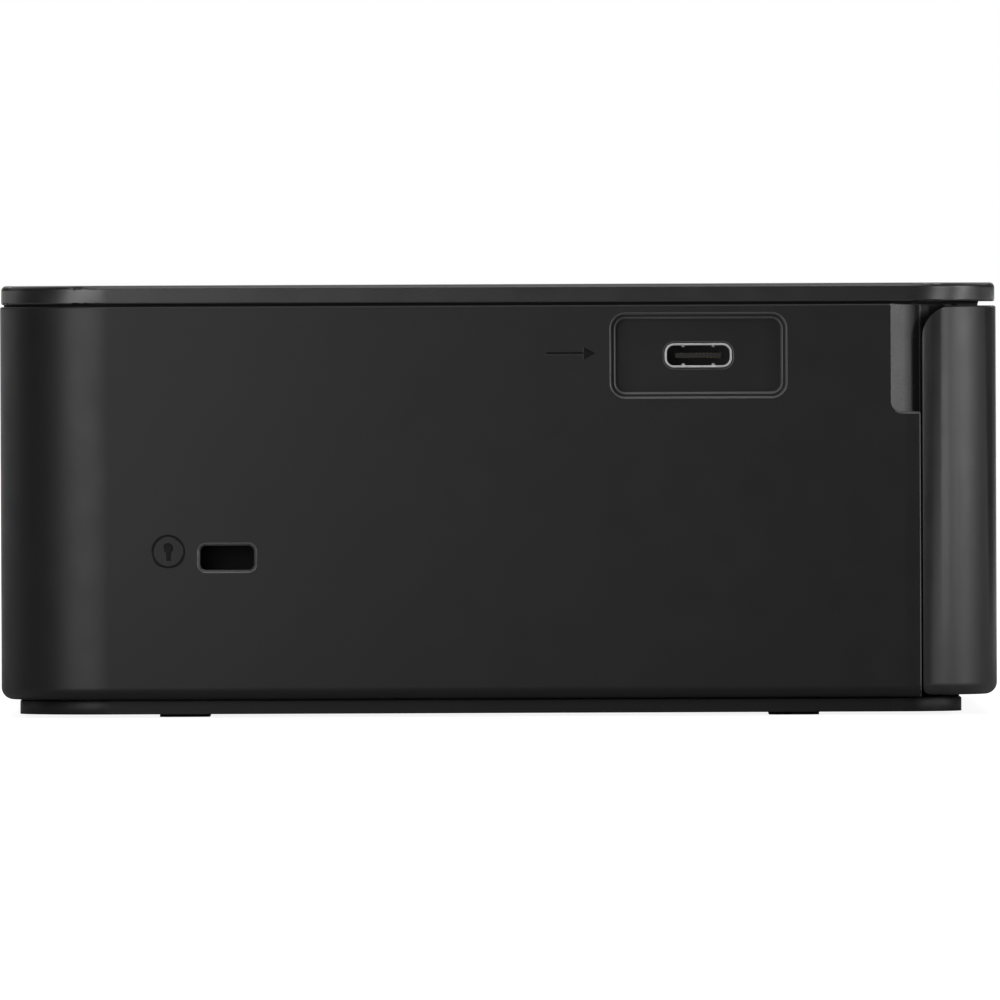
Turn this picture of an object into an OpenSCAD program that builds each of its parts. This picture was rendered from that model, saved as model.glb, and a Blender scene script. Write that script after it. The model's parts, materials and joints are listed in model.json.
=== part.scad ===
// Compact photo printer: a flat box that prints postcard-size photographs.
// Millimetres. The origin is the middle of the underside, +Z is up and -Y is the front.
// The data port and the security slot are on the left side (-X), the ink cover on the right.

/* [Case] */
// Width of the whole printer, left to right
case_w = 182.2; // [180:0.2:190]
// Depth of the whole printer, front to back
case_d = 133; // [132:0.2:140]
// Height of the body walls between the base and the top cover
body_h = 52.4; // [52:0.1:58]
// Radius of the two front upright corners
front_corner_r = 12.5; // [11:0.25:14]
// Radius of the two rear upright corners
rear_corner_r = 14.5; // [12:0.25:17]
// Thickness of the body walls
wall_t = 2.2; // [1.8:0.1:2.4]
// Rounding of the lower edge of the body and the door
bottom_edge_r = 1.6; // [0.8:0.1:1.8]
// Width of the ledge inside the lower edge of the body
ledge_w = 6; // [5:0.5:8]
// Thickness of that ledge
ledge_t = 1.6; // [1.2:0.1:2]

/* [Top cover] */
// Thickness of the top cover
lid_t = 2.55; // [2:0.05:3]
// Rounding of the upper edge of the top cover
lid_edge_r = 0.7; // [0.5:0.1:1.4]
// Open line between the body and the top cover
lid_gap = 0.25; // [0.2:0.05:0.6]
// How far the top cover stands in from the body walls
lid_inset = 0.15; // [0:0.05:0.4]
// Thickness of the skirt that locates the top cover in the body
skirt_t = 1.6; // [1.2:0.1:2]
// Height of that skirt
skirt_h = 3.2; // [2:0.1:3.6]

/* [Base] */
// Height of the rubber feet under the base
foot_h = 0.45; // [0.4:0.05:1]
// Length of each foot, front to back
foot_l = 6.7; // [5:0.1:9]
// Width of each foot, left to right
foot_w = 14; // [10:0.5:18]
// Thickness of the base plate
base_t = 1.95; // [1.8:0.05:2.6]
// How far the base plate stands in from the sides and the rear
base_inset = 2.5; // [2:0.1:4]
// How far the base plate stands in from the front
base_front_inset = 4.8; // [4.6:0.1:6]

/* [Front door] */
// Thickness of the door
door_t = 2; // [1.8:0.1:2.2]
// How far the door reaches back round the corners
door_wing = 10; // [9.4:0.1:11]
// Rounding of the upper rear corner of each wing
wing_top_r = 4.3; // [2:0.1:6]
// Open line between the door and the body
door_gap = 0.25; // [0.2:0.05:0.5]
// Radius of the steel hinge pins
hinge_pin_r = 0.8; // [0.6:0.05:0.85]
// Width of the fixed hinge cheek
cheek_w = 3; // [2:0.1:4]

/* [Finger pockets] */
// Slope of the ramp that leads a finger under each door wing
pocket_slope = 27; // [26:1:34]
// Depth of the pocket under the wing
pocket_depth = 3.6; // [3.4:0.1:4]
// Height of the pocket
pocket_h = 14.5; // [10:0.5:20]
// How far the ramp shows behind the door wing
pocket_l = 3.95; // [3.5:0.05:4.5]

/* [Ports] */
// Length of the port recess, front to back
port_l = 23.4; // [20:0.1:26]
// Height of the port recess
port_h = 11.2; // [10:0.1:12]
// Depth of the port recess
port_depth = 2.4; // [1.8:0.1:3]
// Distance from the centre of the port recess back to the middle of the case
port_y = -26.7; // [-30:0.1:-24]
// Width of the USB-C socket
usb_w = 9; // [8.94:0.01:9.1]
// Height of the USB-C socket
usb_h = 3.27; // [3.2:0.01:3.3]
// Length of the security slot
lock_l = 7.2; // [6.8:0.1:7.4]
// Height of the security slot
lock_h = 3.25; // [2.8:0.05:3.4]
// Place of the security slot, back from the middle of the case
lock_y = 36.15; // [34:0.1:40]
// Height of the security slot above the table
lock_z = 21.3; // [18:0.1:26]

/* [Ink cover] */
// Length of the ink cover, front to back
ink_l = 73; // [72:0.5:74]
// Height of the ink cover
ink_h = 24.3; // [23:0.1:25]
// Radius of its two pins
ink_pin_r = 0.7; // [0.5:0.05:0.8]
// Open line round the ink cover
ink_gap = 0.4; // [0.35:0.05:0.5]

/* [Screen and buttons] */
// Width of the screen glass
screen_w = 88; // [80:0.5:92]
// Depth of the screen glass
screen_d = 62; // [54:0.5:66]
// Distance from the middle of the case left to the middle of the screen
screen_x = 24; // [20:0.5:26]
// Radius of the round confirm button
ok_r = 6.4; // [5:0.1:7]
// Outer radius of the ring of arrow buttons
ring_r = 13.2; // [11.5:0.1:14]
// Radius of the small round buttons
key_r = 4; // [3:0.1:4.8]
// Travel of every button
key_travel = 0.4; // [0.2:0.05:0.45]

/* [Mechanism] */
// Distance of the print line in front of the rear face
print_back = 52.5; // [52.1:0.1:53.5]
// Height of the paper path above the table
paper_z = 24.5; // [24:0.1:25]
// Radius of the rubber platen roller
platen_r = 5.5; // [4.5:0.1:6]
// Radius of the steel grip roller
grip_r = 3; // [2.5:0.1:3.4]
// Radius of the rubber pinch roller
pinch_r = 2.5; // [2:0.1:2.6]
// Radius of the rubber pick-up tyre
pickup_r = 6.5; // [5:0.1:7]
// Radius of the roller shafts
shaft_r = 2.5; // [1.8:0.1:2.6]
// Radial clearance of every shaft and pin that turns
run_gap = 0.05; // [0.02:0.01:0.08]
// Size of the gear teeth: pitch diameter divided by the number of teeth
gear_module = 0.8; // [0.79:0.01:0.81]
// Width of each gear
gear_w = 3; // [2:0.1:3]
// Thickness of the steel chassis plates
plate_t = 1.2; // [0.8:0.1:1.6]
// Length of the motor
motor_l = 27; // [20:0.5:32]
// Radius of the motor
motor_r = 8.8; // [7:0.1:9]

/* [Hidden] */
$fn = 48;
eps = 0.01;

// Levels
base_z0 = foot_h;
body_z0 = base_z0 + base_t;
body_z1 = body_z0 + body_h;
lid_z0 = body_z1 + lid_gap;
lid_z1 = lid_z0 + lid_t;

// Case outline
half_w = case_w / 2;
half_d = case_d / 2;
top_edge_r = 0.3;
fit_gap = 0.2;
rim_inset = 0.5;
skirt_inset = wall_t + 0.15;
skirt_front_y = -half_d + 18;
print_y = half_d - print_back;

// Door
door_z0 = body_z0 + door_gap;
door_z1 = body_z1 - 0.3;
wing_y = -half_d + door_wing;
body_front_y = wing_y + door_gap;
wing_bottom_r = 1;
knuckle_r = 1.55;
hinge_y = -half_d + 2.9;
hinge_z = door_z0 + knuckle_r;
cheek_r = knuckle_r - 0.05;
relief_r = 1.8;
cheek_x = half_w - 19.6;
knuckle_w = 3.2;
cheek_gap = 0.3;
relief_x0 = cheek_x - cheek_w / 2 - cheek_gap;
relief_x1 = cheek_x + cheek_w / 2 + cheek_gap;
pin_x0 = relief_x0 - knuckle_w;
pin_x1 = relief_x1 + knuckle_w;
door_rib_n = 5;
door_rib_pitch = 24;

// Front frame behind the door
frame_inset = door_t + 0.4;
frame_t = 3;
frame_z0 = door_z0 + 4.2;
frame_back_y = -half_d + 16.5;
sill_y0 = -half_d + 5.1;
sill_t = 2.4;
sill_h = 6.1;
sill_x = half_w - 11;

// Finger pockets: a ramp down from the side wall, then a level floor that ends under the wing
pocket_y1 = body_front_y + pocket_l;
pocket_floor_l = 1;
pocket_z0 = body_z1 - pocket_h;
pocket_corner_r = 1.5;
// Clearance between the pocket wall and the front frame
pocket_frame_gap = 0.7;
liner_t = 1.2;

// Ports
port_z = body_z1 - 6.8;
port_corner_r = 2;
port_step = 0.6;
port_step_depth = 1.2;
port_back_t = 1.4;
usb_t = 0.3;
usb_r = 1.3;
usb_l = 7.4;
tongue_t = 0.6;
tongue_w = 6.1;
tongue_in = 0.8;
tongue_end = 2.2;
usb_x0 = -half_w + port_depth - 0.2;
lock_r = 0.8;
lock_step = 0.25;
lock_plate_t = 1;
lock_plate_rim = 4.5;
lock_room = 8.2;
lock_room_depth = 2.5;
lock_skin = 0.5;

// Boards under the top cover and beside the drive
board_t = 1.6;
board_z1 = port_z - usb_h / 2;
board_z0 = board_z1 - board_t;
board_x0 = -half_w + port_depth + port_back_t + 0.3;
board_x1 = -half_w + 28;
board_y0 = port_y - 20;
board_y1 = port_y + 19;
pad_x = half_w - 34.1;
pad_y = -20;
key_row_y = 4;
key_row_pitch = 13;
key_edge = 2;
print_key_y = -42;
print_key_w = 20;
power_y = 22;
key_board_t = 1;
key_board_z1 = lid_z0 - 1.8;
key_board_low = [pad_x - key_row_pitch - key_r - 0.5, print_key_y - key_r - 2];
key_board_high = [pad_x + key_row_pitch + key_r + 3, power_y + key_r + 4];
key_post_r = 1.4;
key_gap = 0.2;
key_flange = 0.8;
key_flange_t = 0.9;
key_recess = 0.15;
dome_h = 0.3;
dome_r = 1.8;
key_z0 = key_board_z1 + dome_h + 0.1 + key_travel;
screen_y = -10;
screen_t = 1;
screen_sink = 0.1;
screen_corner_r = 3;
screen_rim = 6;
screen_size = [screen_w, screen_d];
panel_size = screen_size - 2 * [screen_rim, screen_rim];
cover_rib_n = 7;
cover_rib_pitch = 24;
cover_rib_h = 1.2;
cover_rib_y0 = key_board_high.y + 2;
panel_drop = 2.4;
panel_grow = 3;

// Chassis plates
bay_left_w = 15.1;
bay_right_w = 27.9;
left_x0 = -half_w + bay_left_w;
left_x1 = left_x0 + plate_t;
right_x0 = half_w - bay_right_w - plate_t;
right_x1 = right_x0 + plate_t;
card_l = 28;
plate_y0 = -half_d + frame_inset + frame_t + card_l + 1.1;
plate_y1 = half_d - ledge_w - 0.1;
beam_t = 1.2;
beam_z1 = lid_z0 - 3.4;
beam_z0 = beam_z1 - beam_t;
window_z0 = paper_z + 6;
window_z1 = beam_z0 - 0.2;
window_y0 = print_y - 35.5;
window_y1 = print_y + 32.5;

// Rollers
paper_gap = 0.05;
platen_z = paper_z - platen_r;
grip_y = print_y + 13;
grip_z = paper_z - grip_r - paper_gap;
pinch_z = paper_z + pinch_r + paper_gap;
pickup_y = print_y - 32;
pickup_z = 20;
roller_margin = 6;
roller_x1 = right_x0 - roller_margin;
roller_x0 = -roller_x1;
core_t = 0.4;
bush_r = 3.6;
bush_rim = 0.4;
pin_end_r = 1.2;
spindle_r = 2;
stud_r = 1.6;

// Gear train. Numbers of teeth:
motor_n = 10;
wheel_n = 32;
step_n = 10;
grip_n = 28;
transfer_n = 36;
pickup_n = 18;
takeup_n = 24;
inner_x1 = left_x0 - 1.3;
inner_x0 = inner_x1 - gear_w;
outer_x1 = inner_x0 - 0.8;
outer_x0 = outer_x1 - gear_w;
motor_y = grip_y + 27;
motor_z = 13;
takeup_off = 8;
takeup_y = grip_y + takeup_off;
takeup_gap = gear_module * (grip_n + takeup_n) / 2;
takeup_z = grip_z + sqrt(takeup_gap * takeup_gap - takeup_off * takeup_off);
supply_y = print_y - 24;
supply_z = takeup_z;

function pitch(n) = gear_module * n / 2;

// Point at distance ra from a and rb from b, on the left of the line from a to b
function meet(a, ra, b, rb) =
    let (
        d = norm(b - a),
        u = (b - a) / d,
        along = (ra * ra - rb * rb + d * d) / (2 * d),
        off = sqrt(ra * ra - along * along)
    )
    a + along * u + off * [-u.y, u.x];

// Direction from a to b
function aim(a, b) = atan2(b.y - a.y, b.x - a.x);

// Turn of gear b, so that its gap meets the tooth of gear a, which lies at direction dir
function mesh_turn(turn_a, n_a, n_b, dir) = dir + 180 - ((turn_a - dir) * n_a + 180) / n_b;

grip_at = [grip_y, grip_z];
motor_at = [motor_y, motor_z];
pickup_at = [pickup_y, pickup_z];
takeup_at = [takeup_y, takeup_z];
step_at = meet(grip_at, pitch(grip_n + step_n), motor_at, pitch(motor_n + wheel_n));
transfer_at = meet(pickup_at, pitch(pickup_n + transfer_n), grip_at, pitch(grip_n + transfer_n));
step_turn = mesh_turn(0, grip_n, step_n, aim(grip_at, step_at));
motor_turn = mesh_turn(step_turn, wheel_n, motor_n, aim(step_at, motor_at));
transfer_turn = mesh_turn(0, grip_n, transfer_n, aim(grip_at, transfer_at));
pickup_turn = mesh_turn(transfer_turn, transfer_n, pickup_n, aim(transfer_at, pickup_at));
takeup_turn = mesh_turn(0, grip_n, takeup_n, aim(grip_at, takeup_at));

// Thermal head
head_travel = 2;
sink_w = 14;
sink_z0 = paper_z + 2;
sink_z1 = 46;
sink_x1 = right_x0 - 10;
sink_x0 = -sink_x1;
sink_base_t = 6;
fin_n = 5;
fin_t = 1.2;
guide_t = 1.5;
guide_gap = 3;
tab_w = 3;
tab_z0 = 36;
tab_h = 6;

// Ink cover
ink_t = wall_t;
ink_y1 = print_y + 35;
ink_y0 = ink_y1 - ink_l;
ink_z1 = body_z1 - 3;
ink_z0 = ink_z1 - ink_h;
ink_pivot_off = 1.4;
ink_pivot_x = half_w - ink_pivot_off;
ink_pivot_y = ink_y1 - ink_pivot_off;
ink_pin_in = 1.7;
thumb_r = 10;
thumb_depth = 1;
ink_rib_n = 3;
ink_rib_pitch = 18;

// Power board and jack, beside the right chassis plate
post_h = 4.2;
post_r = 2.4;
power_low = [right_x1 + 0.9, half_d - 48];
power_high = [half_w - ledge_w + 0.4, half_d - 13.5];
power_z0 = body_z0 + post_h;
power_z1 = power_z0 + board_t;
jack_w = 10;
jack_l = 14;
jack_r = 3;
jack_low = 5.8;
jack_high = 5;
jack_x = right_x1 + jack_w / 2 + 1.9;
jack_z = power_z1 + jack_low;

// Memory card socket behind the front frame
card_x = half_w - 25;
card_z = 31;
card_w = 26;
card_h = 3.4;
card_wall = 0.8;
card_skin = 0.5;

// Latch of the ink cassette
latch_y = window_y1 + 3.5;
latch_z = 40;
latch_t = 2;
latch_eye_r = 3.4;
latch_arm_h = 4;
latch_thumb_h = 9;
latch_pin_r = 1.5;

// Paper bay
bay_x0 = left_x1 + 5.7;
bay_x1 = right_x0 - 8.9;
bay_y1 = pickup_y + 8;
bay_z0 = 7.2;
bay_floor_t = 1.4;
bay_wall_t = 1.5;
bay_wall_h = 8.3;
bay_rib_n = 7;
bay_mouth_in = 3.1;
bay_mouth_z0 = 9;
bay_mouth_z1 = 29;
bay_mid = (bay_x0 + bay_x1) / 2;
tyre_w = 14;
tyre_gap = 4.2;
ramp_y = pickup_y + 10;
ramp_z = 10;
guide_z1 = paper_z - 1.2;
guide_rib_n = 9;
guide_rib_pitch = 12;
rib_t = 1;

// Rear openings
slot_low = 2.5;
slot_high = 4;
vent_n = 14;
vent_pitch = 4;
vent_w = 1.6;
vent_x0 = -60;
vent_z0 = 36;
vent_z1 = 48;

// Base plate and feet
foot_side = 16;
foot_front = 27.15;
foot_rear = 24.55;
foot_sink = 0.6;
base_lip = 1.5;
base_vent_n = 10;
base_vent_pitch = 8;
base_vent_w = 2;
base_vent_l = 28;
base_vent_at = [-45, 20];

// Screw bosses under the four corners: front pair, rear pair
BOSSES = [
    [half_w - 6.6, body_front_y + 11.2], [-half_w + 6.6, body_front_y + 11.2],
    [half_w - 9.5, half_d - 9], [-half_w + 9.5, half_d - 9],
];
boss_r = 3;
boss_h = 5;
screw_r = 1.2;
screw_l = 4.4;
screw_head_r = 2.4;
screw_head_t = 0.9;
screw_sink = 0.1;

black = [0.035, 0.035, 0.037];
soft_black = [0.05, 0.05, 0.053];
inner_grey = [0.16, 0.16, 0.17];
steel = [0.62, 0.63, 0.65];
bright_steel = [0.78, 0.79, 0.8];
alloy = [0.7, 0.71, 0.73];
board_green = [0.05, 0.25, 0.14];
nylon_white = [0.86, 0.85, 0.8];
rubber_black = [0.07, 0.07, 0.07];

// ---- shapes that repeat ----

// Turns a shape drawn in (Y, Z) and raised along X into place
module along_x(x0) {
    translate([x0, 0, 0]) rotate([90, 0, 90]) children();
}

// Turns a shape drawn in (X, Z) and raised towards the back into place
module along_y(y0, length) {
    translate([0, y0 + length, 0]) rotate([90, 0, 0]) linear_extrude(length) children();
}

// A shape of the right half, and its mirror image on the left
module both_sides() {
    for (side = [0, 1]) mirror([side, 0, 0]) children();
}

// Box given by two corners
module block(low, high) {
    translate(low) cube(high - low);
}

// Quarter of a square corner that lies outside a rounding
module corner_waste(r) {
    difference() {
        translate([-eps, -eps]) square(r + eps);
        translate([r, r]) circle(r);
    }
}

// Rectangle whose corners have their own radii: low left, low right, high right, high left
module soft_rect(low, high, radii) {
    spots = [low, [high.x, low.y], high, [low.x, high.y]];
    difference() {
        translate(low) square(high - low);
        for (i = [0:3])
            if (radii[i] > 0)
                translate(spots[i]) rotate(90 * i) corner_waste(radii[i]);
    }
}

// Rectangle about a centre with one corner radius
module round_rect(size, r) {
    soft_rect(-size / 2, size / 2, [r, r, r, r]);
}

// Plan of the case, moved in by inset on all sides
module case_plan(inset = 0, front_inset = undef) {
    front = is_undef(front_inset) ? inset : front_inset;
    rf = front_corner_r - front;
    rr = rear_corner_r - inset;
    soft_rect([-half_w + inset, -half_d + front], [half_w - inset, half_d - inset], [rf, rf, rr, rr]);
}

// Upright section of a slab edge: rounded above and below, from x = 0 out to reach
module edge_section(reach, h, top_r, low_r) {
    soft_rect([0, 0], [reach, h], [0, low_r, top_r, 0]);
}

// Solid with the outline of the case, moved in by inset, and rounded upper and lower edges
module case_slab(z0, z1, top_r, low_r, inset = 0) {
    h = z1 - z0;
    rf = front_corner_r - inset;
    rr = rear_corner_r - inset;
    front = [half_w - front_corner_r, -half_d + front_corner_r];
    rear = [half_w - rear_corner_r, half_d - rear_corner_r];
    translate([0, 0, z0]) {
        both_sides() {
            translate(rear) rotate_extrude(angle = 90) edge_section(rr, h, top_r, low_r);
            translate(front) rotate([0, 0, -90])
                rotate_extrude(angle = 90) edge_section(rf, h, top_r, low_r);
            translate([0, rear.y, 0]) rotate([90, 0, 0])
                linear_extrude(rear.y - front.y) edge_section(half_w - inset, h, top_r, low_r);
        }
        translate([-rear.x, rear.y, 0]) rotate([90, 0, 90])
            linear_extrude(2 * rear.x) edge_section(rr, h, top_r, low_r);
        translate([front.x, front.y, 0]) rotate([90, 0, -90])
            linear_extrude(2 * front.x) edge_section(rf, h, top_r, low_r);
    }
}

// Upright prism with the plan of the case
module case_prism(z0, z1, inset, front_inset = undef) {
    translate([0, 0, z0]) linear_extrude(z1 - z0) case_plan(inset, front_inset);
}

// Everything in front of, or behind, a plane across the case
module ahead_of(y) {
    block([-case_w, -case_d, -eps], [case_w, y, 2 * lid_z1]);
}

module behind(y) {
    block([-case_w, y, -1], [case_w, case_d, 2 * lid_z1]);
}

// Plan of a spur gear, drawn with a tooth in direction 0
module gear_plan(n) {
    step = 360 / n;
    root = pitch(n) - 1.2 * gear_module;
    tip = pitch(n) + 0.9 * gear_module;
    tooth = [[root, -0.3], [pitch(n), -0.225], [tip, -0.12], [tip, 0.12], [pitch(n), 0.225], [root, 0.3]];
    polygon([for (i = [0:n - 1]) for (p = tooth)
        p.x * [cos((i + p.y) * step), sin((i + p.y) * step)]]);
}

// Spur gear about the X direction, at a point in (Y, Z)
module gear(at, n, turn, x0) {
    along_x(x0) translate(at) rotate(turn) linear_extrude(gear_w) gear_plan(n);
}

// Round bar along X at a point in (Y, Z)
module bar(at, r, x0, x1) {
    along_x(x0) translate(at) cylinder(h = x1 - x0, r = r);
}

// ---- plans of the buttons ----

module arrow_plan(grow) {
    inner = ok_r + key_edge - grow;
    side = key_edge / 2 - grow;
    intersection() {
        difference() {
            circle(ring_r + grow);
            circle(inner);
        }
        rotate(45) translate([side, side]) square(2 * ring_r);
    }
}

module pill_plan(w, r) {
    for (side = [-1, 1]) translate([side * (w / 2 - r), 0]) circle(r);
    square([w - 2 * r, 2 * r], center = true);
}

module key_plan(name, grow) {
    row = [["menu", -1], ["edit", 0], ["back", 1]];
    turns = [["up", 0], ["left", 90], ["down", 180], ["right", 270]];
    if (name == "power") translate([pad_x + key_row_pitch, power_y]) circle(key_r + grow);
    if (name == "print") translate([pad_x, print_key_y]) pill_plan(print_key_w + 2 * grow, key_r + grow);
    if (name == "confirm") translate([pad_x, pad_y]) circle(ok_r + grow);
    for (key = row)
        if (key[0] == name) translate([pad_x + key[1] * key_row_pitch, key_row_y]) circle(key_r + grow);
    for (key = turns)
        if (key[0] == name) translate([pad_x, pad_y]) rotate(key[1]) arrow_plan(grow);
}

// Middle of every button
arrow_mid = (ok_r + key_edge + ring_r) / 2;
KEY_SPOTS = concat(
    [[pad_x + key_row_pitch, power_y], [pad_x, print_key_y], [pad_x, pad_y]],
    [for (i = [-1:1]) [pad_x + i * key_row_pitch, key_row_y]],
    [for (turn = [0:90:270]) [pad_x + arrow_mid * cos(turn), pad_y + arrow_mid * sin(turn)]]
);

KEYS = ["power", "menu", "edit", "back", "print", "confirm", "up", "down", "left", "right"];

// A button: its cap, and the flange that keeps it under the cover
module key(name) {
    translate([0, 0, key_z0]) linear_extrude(lid_z1 - key_recess - key_z0) key_plan(name, 0);
    translate([0, 0, key_z0]) linear_extrude(key_flange_t) key_plan(name, key_flange);
}

// ---- top ----

module top_cover() {
    color(black) {
        difference() {
            case_slab(lid_z0, lid_z1, lid_edge_r, top_edge_r, lid_inset);
            for (name = KEYS)
                translate([0, 0, lid_z0 - 1]) linear_extrude(lid_t + 2) key_plan(name, key_gap);
            translate([-screen_x, screen_y, lid_z1 - screen_t - screen_sink])
                linear_extrude(screen_t + 1) round_rect(screen_size, screen_corner_r);
            translate([-screen_x, screen_y, lid_z0 - 1])
                linear_extrude(lid_t + 2) round_rect(panel_size, 1);
        }
        // Rim that rests on the body walls and leaves an open line all round
        difference() {
            case_prism(body_z1, lid_z0 + eps, rim_inset, skirt_inset);
            case_prism(body_z1 - 1, lid_z0 + 1, skirt_inset + skirt_t);
        }
        // Skirt that locates the cover between the walls
        difference() {
            case_prism(lid_z0 - skirt_h, lid_z0 + eps, skirt_inset);
            case_prism(lid_z0 - skirt_h - 1, lid_z0 + 1, skirt_inset + skirt_t);
            ahead_of(skirt_front_y);
            translate([-half_w, port_y, 0]) cube([4 * wall_t, port_l + 8, 3 * lid_z1], center = true);
            translate([ink_pivot_x, ink_pivot_y, 0]) cylinder(h = lid_z0, r = ink_pivot_off + fit_gap);
        }
        cover_ribs();
    }
}

// Stiffening ribs under the plain rear part of the cover: lengthwise ribs, tied by one across
module cover_ribs() {
    z0 = lid_z0 - cover_rib_h;
    y1 = half_d - skirt_inset - eps;
    half_row = cover_rib_pitch * (cover_rib_n - 1) / 2;
    for (i = [0:cover_rib_n - 1]) translate([cover_rib_pitch * i - half_row, 0, 0])
        block([-rib_t / 2, cover_rib_y0, z0], [rib_t / 2, y1 - skirt_t + 2 * eps, lid_z0 + eps]);
    block([-half_row, cover_rib_y0, z0], [half_row, cover_rib_y0 + rib_t, lid_z0 + eps]);
}

module screen_glass() {
    color([0.02, 0.02, 0.025])
        translate([-screen_x, screen_y, lid_z1 - screen_t - screen_sink])
            linear_extrude(screen_t)
                round_rect(screen_size - [fit_gap, fit_gap], screen_corner_r - fit_gap / 2);
}

module display_panel() {
    color(steel) translate([-screen_x, screen_y, 0]) {
        translate([0, 0, lid_z0 - panel_drop])
            linear_extrude(panel_drop) round_rect(panel_size + 2 * [panel_grow, panel_grow], 1);
        translate([0, 0, lid_z0 - eps])
            linear_extrude(lid_t - screen_t - screen_sink) round_rect(panel_size - [fit_gap, fit_gap], 1);
    }
}

module button_board() {
    low = key_board_low;
    high = key_board_high;
    inset = key_post_r + 0.8;
    color(board_green) {
        translate([0, 0, key_board_z1 - key_board_t])
            linear_extrude(key_board_t) soft_rect(low, high, [2, 2, 2, 2]);
        for (at = KEY_SPOTS)
            translate([at.x, at.y, key_board_z1 - eps]) cylinder(h = dome_h, r = dome_r);
        for (x = [low.x + inset, high.x - inset], y = [low.y + inset, high.y - inset])
            translate([x, y, key_board_z1 - eps]) cylinder(h = lid_z0 - key_board_z1 + eps, r = key_post_r);
    }
}

module power_button() { color(soft_black) key("power"); }
module menu_button() { color(soft_black) key("menu"); }
module edit_button() { color(soft_black) key("edit"); }
module back_button() { color(soft_black) key("back"); }
module print_button() { color(soft_black) key("print"); }
module confirm_button() { color(soft_black) key("confirm"); }
module up_button() { color(soft_black) key("up"); }
module down_button() { color(soft_black) key("down"); }
module left_button() { color(soft_black) key("left"); }
module right_button() { color(soft_black) key("right"); }

// ---- body ----

// Plan of the left finger pocket, grown by the given distance on every side but the open one
module pocket_plan(grow) {
    floor_x = -half_w + pocket_depth + grow;
    floor_y1 = pocket_y1 - pocket_depth / tan(pocket_slope);
    floor_y0 = floor_y1 - pocket_floor_l;
    open_x = -half_w - 1;
    polygon([
        [open_x, floor_y0 - grow],
        [floor_x, floor_y0 - grow],
        [floor_x, floor_y1 + grow * tan(pocket_slope / 2)],
        [open_x, pocket_y1 + (1 + grow / cos(pocket_slope)) / tan(pocket_slope)],
    ]);
}

// Space of one finger pocket, with a rounded lower rear corner
module finger_pocket() {
    intersection() {
        linear_extrude(2 * lid_z1) pocket_plan(0);
        along_x(-case_w) linear_extrude(case_w)
            soft_rect([-half_d, pocket_z0], [pocket_y1, 2 * lid_z1], [0, pocket_corner_r, 0, 0]);
    }
}

// Wall that closes the pocket on the inside: clear of the door wing, joined to the body wall behind it
module pocket_wall(grow) {
    intersection() {
        translate([0, 0, pocket_z0 - liner_t - grow])
            linear_extrude(pocket_h + liner_t + grow) pocket_plan(liner_t + grow);
        union() {
            case_prism(0, body_z1, frame_inset);
            intersection() {
                case_prism(0, body_z1, wall_t - 0.2);
                behind(body_front_y);
            }
        }
    }
}

module port_plan(grow) {
    translate([port_y, port_z])
        round_rect([port_l, port_h] + 2 * [grow, grow], port_corner_r + grow);
}

module lock_plan(grow) {
    translate([lock_y, lock_z]) round_rect([lock_l, lock_h] + 2 * [grow, grow], lock_r + grow);
}

module usb_plan(grow) {
    translate([port_y, port_z]) round_rect([usb_w, usb_h] + 2 * [grow, grow], usb_r + grow);
}

module ink_window(grow) {
    along_x(half_w - 4 * wall_t) linear_extrude(8 * wall_t)
        soft_rect([ink_y0 - grow, ink_z0 - grow], [ink_y1 + grow, ink_z1 + grow], [1, 0.4, 0.4, 1]);
}

module paper_slot() {
    along_y(half_d - 3 * wall_t, 6 * wall_t)
        soft_rect([roller_x0, paper_z - slot_low], [roller_x1, paper_z + slot_high], [1, 1, 1, 1]);
}

module rear_vents() {
    along_y(half_d - 3 * wall_t, 6 * wall_t)
        for (i = [0:vent_n - 1]) translate([vent_x0 + vent_pitch * i, (vent_z0 + vent_z1) / 2])
            round_rect([vent_w, vent_z1 - vent_z0], vent_w / 2);
}

module body_shell() {
    color(black) difference() {
        union() {
            difference() {
                case_slab(body_z0, body_z1, top_edge_r, bottom_edge_r);
                case_prism(body_z0 + ledge_t, body_z1 + 1, wall_t);
                case_prism(body_z0 - 1, body_z1 + 1, ledge_w);
                ahead_of(body_front_y);
            }
            both_sides() pocket_wall(0);
            along_x(-half_w + wall_t - eps)
                linear_extrude(port_depth + port_back_t - wall_t + eps) intersection() {
                    port_plan(1.4);
                    translate([-case_d, 0]) square([2 * case_d, body_z1]);
                }
            for (at = BOSSES) translate([at.x, at.y, body_z0]) cylinder(h = boss_h, r = boss_r);
            for (z = [ink_z0 - ink_gap - ink_pin_in - 1.6, ink_z1 + ink_gap])
                translate([ink_pivot_x, ink_pivot_y, z])
                    cylinder(h = ink_pin_in + 0.9, r = ink_pivot_off - 0.1);
        }
        both_sides() finger_pocket();
        along_x(-half_w - 1) linear_extrude(1 + port_step_depth) port_plan(0);
        along_x(-half_w - 1) linear_extrude(1 + port_depth) port_plan(-port_step);
        along_x(-half_w - 1) linear_extrude(4 * wall_t) usb_plan(0.1);
        along_x(-half_w - 1) linear_extrude(1 + lock_step) lock_plan(lock_step);
        along_x(-half_w - 1) linear_extrude(1 + 2 * wall_t) lock_plan(0);
        ink_window(ink_gap);
        thumb_scoop();
        for (z = [ink_z0 - ink_pin_in - 0.1, ink_z1 - 1])
            translate([ink_pivot_x, ink_pivot_y, z])
                cylinder(h = ink_pin_in + 1.1, r = ink_pin_r + run_gap);
        paper_slot();
        rear_vents();
        along_y(half_d - 4 * wall_t, 6 * wall_t) translate([jack_x, jack_z]) circle(jack_r + 1.2);
        for (at = BOSSES) translate([at.x, at.y, body_z0 - 1]) cylinder(h = boss_h, r = screw_r + 0.02);
    }
}

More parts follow.
